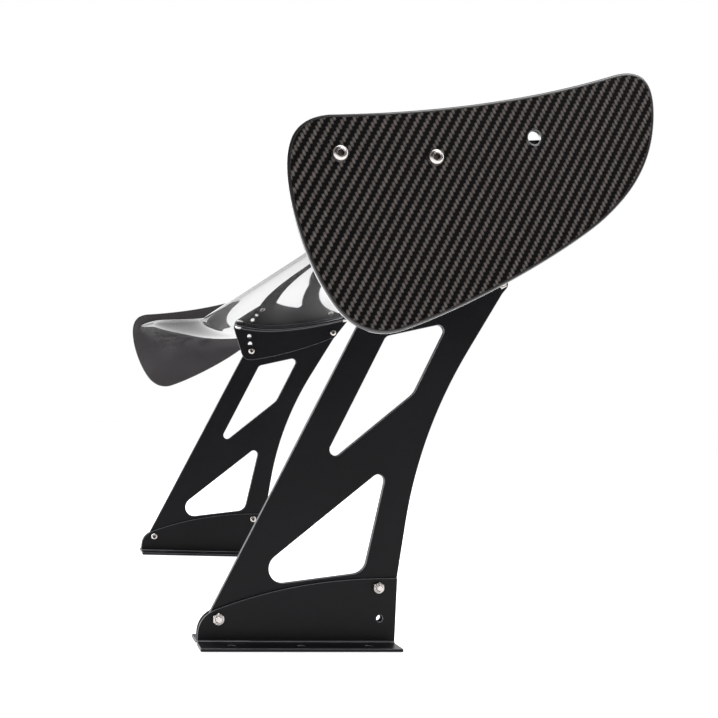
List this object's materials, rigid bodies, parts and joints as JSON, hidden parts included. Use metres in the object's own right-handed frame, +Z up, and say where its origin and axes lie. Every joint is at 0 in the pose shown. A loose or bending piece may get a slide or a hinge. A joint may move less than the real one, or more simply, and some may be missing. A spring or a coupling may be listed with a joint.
{
  "type": "racing rear wing",
  "caption": "Wide inverted airfoil with forward-swept tips and rounded end plates, on two lightened plate stands that pivot in angle brackets for rake and wing angle.",
  "frame": {"origin": "on the deck, under the middle of the whole wing's box", "axes": "+X rearward, +Y to the car's right along the span, +Z up"},
  "size_m": [0.3632, 1.5584, 0.453],
  "materials": {
    "anodised_aluminium": "satin black anodised plate",
    "carbon_twill": "carbon twill under a glossy clear coat",
    "stainless_steel": "plain stainless steel",
    "plain_aluminium": "mill finish",
    "rib_composite": "matt moulded composite"
  },
  "bodies": {
    "root": {"left_inner_deck_bracket": "anodised_aluminium", "left_outer_deck_bracket": "anodised_aluminium", "left_rake_pivot_bolt": "stainless_steel", "left_rake_pivot_nut": "stainless_steel", "right_inner_deck_bracket": "anodised_aluminium", "right_outer_deck_bracket": "anodised_aluminium", "right_rake_pivot_bolt": "stainless_steel", "right_rake_pivot_nut": "stainless_steel"},
    "stands": {"left_stand": "anodised_aluminium", "left_rake_lock_head": "stainless_steel", "left_rake_lock_shank": "stainless_steel", "left_rake_lock_nut": "stainless_steel", "left_wing_pivot_bolt": "stainless_steel", "left_wing_pivot_nut": "stainless_steel", "left_angle_lock_head": "stainless_steel", "left_angle_lock_nut": "stainless_steel", "right_stand": "anodised_aluminium", "right_rake_lock_head": "stainless_steel", "right_rake_lock_shank": "stainless_steel", "right_rake_lock_nut": "stainless_steel", "right_wing_pivot_bolt": "stainless_steel", "right_wing_pivot_nut": "stainless_steel", "right_angle_lock_head": "stainless_steel", "right_angle_lock_nut": "stainless_steel"},
    "wing": {"airfoil_upper_skin": "carbon_twill", "airfoil_lower_skin": "carbon_twill", "spar_tube": "plain_aluminium", "left_wing_bracket": "anodised_aluminium", "left_mount_rib": "rib_composite", "left_tip_rib": "rib_composite", "left_saddle_screw_front": "stainless_steel", "left_saddle_screw_rear": "stainless_steel", "left_end_plate": "carbon_twill", "left_plate_washer_front": "stainless_steel", "left_plate_screw_front": "stainless_steel", "left_plate_insert_front": "plain_aluminium", "left_plate_washer_rear": "stainless_steel", "left_plate_screw_rear": "stainless_steel", "left_plate_insert_rear": "plain_aluminium", "right_wing_bracket": "anodised_aluminium", "right_mount_rib": "rib_composite", "right_tip_rib": "rib_composite", "right_saddle_screw_front": "stainless_steel", "right_saddle_screw_rear": "stainless_steel", "right_end_plate": "carbon_twill", "right_plate_washer_front": "stainless_steel", "right_plate_screw_front": "stainless_steel", "right_plate_insert_front": "plain_aluminium", "right_plate_washer_rear": "stainless_steel", "right_plate_screw_rear": "stainless_steel", "right_plate_insert_rear": "plain_aluminium"}
  },
  "joints": [
    {"name": "stand_rake", "type": "hinge", "parent": "root", "child": "stands", "pos_m": [-0.15258, 0, 0.0245], "axis": [0, 1, 0], "range_deg": [0, 11]},
    {"name": "wing_angle", "type": "hinge", "parent": "stands", "child": "wing", "pos_m": [0.11352, 0, 0.3588], "axis": [0, -1, 0], "range_deg": [0, 10]}
  ]
}
